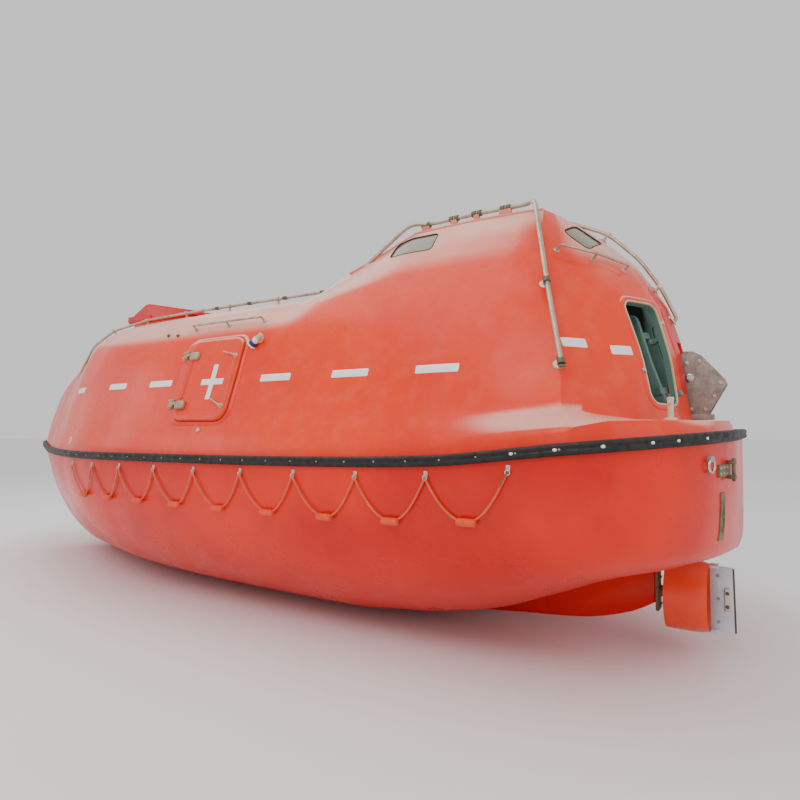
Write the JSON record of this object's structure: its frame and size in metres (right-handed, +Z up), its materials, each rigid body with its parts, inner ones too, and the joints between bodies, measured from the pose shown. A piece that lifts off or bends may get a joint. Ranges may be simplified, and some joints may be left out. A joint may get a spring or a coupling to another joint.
{
  "type": "enclosed lifeboat",
  "caption": "Enclosed lifeboat with a rounded canopy, aft steering tower, side hatches, release hooks and a steering nozzle round its propeller.",
  "frame": {"origin": "on the waterline at the centreline, amidships", "axes": "+X to the bow, +Y to port, +Z up"},
  "size_m": [8, 2.86, 2.8648],
  "materials": {
    "hull_red": "glossy gelcoat",
    "top_orange": "glossy gelcoat",
    "lid_red": "gelcoat",
    "black_rubber": "matt",
    "rail_steel": "dull",
    "hook_grey": "weathered",
    "galvanised": "galvanised",
    "bronze": "cast",
    "glass": "clear",
    "rope_orange": "laid rope",
    "liner_green": "painted laminate",
    "engine_grey": "painted",
    "seat_vinyl": "vinyl",
    "cream": "painted"
  },
  "bodies": {
    "boat": {"hull": "hull_red", "canopy": "top_orange", "rub_rail": "black_rubber", "bench_liner": "liner_green", "engine": "engine_grey", "helm_seat": "seat_vinyl", "helm_console": "liner_green", "stern_tube": "bronze", "fore_coaming": "top_orange", "bow_hook_plates": "hook_grey", "stern_hook_plates": "hook_grey", "stern_post_port": "cream", "stern_post_stbd": "cream", "lamp_socket": "cream", "stern_strip": "galvanised", "stern_cleat": "galvanised", "stern_ring": "galvanised", "lifeline_port": "rope_orange", "lifeline_stbd": "rope_orange", "pane_front_port": "glass", "pane_front_stbd": "glass", "pane_corner_port": "glass", "pane_corner_stbd": "glass", "pane_aft_port": "glass", "pane_aft_stbd": "glass", "top_rail_port": "rail_steel", "top_rail_stbd": "rail_steel", "tower_rail_port": "rail_steel", "tower_rail_stbd": "rail_steel", "hatch_grab_port": "rail_steel", "hatch_grab_stbd": "rail_steel", "aft_grab_port": "rail_steel", "aft_grab_stbd": "rail_steel", "aft_rail": "rail_steel"},
    "side_hatch_port": {"side_hatch_port": "top_orange"},
    "side_hatch_stbd": {"side_hatch_stbd": "top_orange"},
    "aft_door_port": {"aft_door_port": "liner_green"},
    "aft_door_stbd": {"aft_door_stbd": "liner_green"},
    "fore_lid": {"fore_lid": "lid_red"},
    "bow_hook": {"bow_hook": "galvanised"},
    "stern_hook": {"stern_hook": "galvanised"},
    "propeller": {"propeller": "bronze"},
    "steering": {"nozzle": "hull_red", "nozzle_fin": "galvanised"},
    "helm_wheel": {"helm_wheel": "seat_vinyl"}
  },
  "joints": [
    {"name": "side_hatch_port_hinge", "type": "hinge", "parent": "boat", "child": "side_hatch_port", "pos_m": [-0.32, 1.2407, 1.15506], "axis": [0, 0.3346, -0.9424], "range_deg": [0, 110]},
    {"name": "side_hatch_stbd_hinge", "type": "hinge", "parent": "boat", "child": "side_hatch_stbd", "pos_m": [-0.32, -1.2407, 1.15506], "axis": [0, 0.3346, 0.9424], "range_deg": [0, 110]},
    {"name": "aft_door_port_hinge", "type": "hinge", "parent": "boat", "child": "aft_door_port", "pos_m": [-3.56551, 0.28546, 1.18333], "axis": [0.2768, -0.1058, 0.9551], "range_deg": [0, 95]},
    {"name": "aft_door_stbd_hinge", "type": "hinge", "parent": "boat", "child": "aft_door_stbd", "pos_m": [-3.56551, -0.28546, 1.18333], "axis": [0.2768, 0.1058, 0.9551], "range_deg": [0, 95]},
    {"name": "fore_lid_hinge", "type": "hinge", "parent": "boat", "child": "fore_lid", "pos_m": [0.64, 0, 1.9], "axis": [0, -1, 0], "range_deg": [0, 95]},
    {"name": "bow_hook_pin", "type": "hinge", "parent": "boat", "child": "bow_hook", "pos_m": [2.545, 0, 1.65], "axis": [0, 1, 0], "range_deg": [0, 60]},
    {"name": "stern_hook_pin", "type": "hinge", "parent": "boat", "child": "stern_hook", "pos_m": [-3.713, 0, 1.1], "axis": [0, -1, 0], "range_deg": [0, 60]},
    {"name": "propeller_shaft", "type": "hinge", "parent": "boat", "child": "propeller", "pos_m": [-3.68, 0, -0.26], "axis": [1, 0, 0], "continuous": true},
    {"name": "nozzle_stock", "type": "hinge", "parent": "boat", "child": "steering", "pos_m": [-3.68, 0, 0], "axis": [0, 0, 1], "range_deg": [-25, 25]},
    {"name": "helm_wheel_shaft", "type": "hinge", "parent": "boat", "child": "helm_wheel", "pos_m": [-2.12, 0, 1.26], "axis": [-0.9439, 0, 0.3304], "range_deg": [-360, 360]}
  ],
  "couplings": [
    {"joint": "helm_wheel_shaft", "follows": "nozzle_stock", "ratio": -14.4}
  ]
}
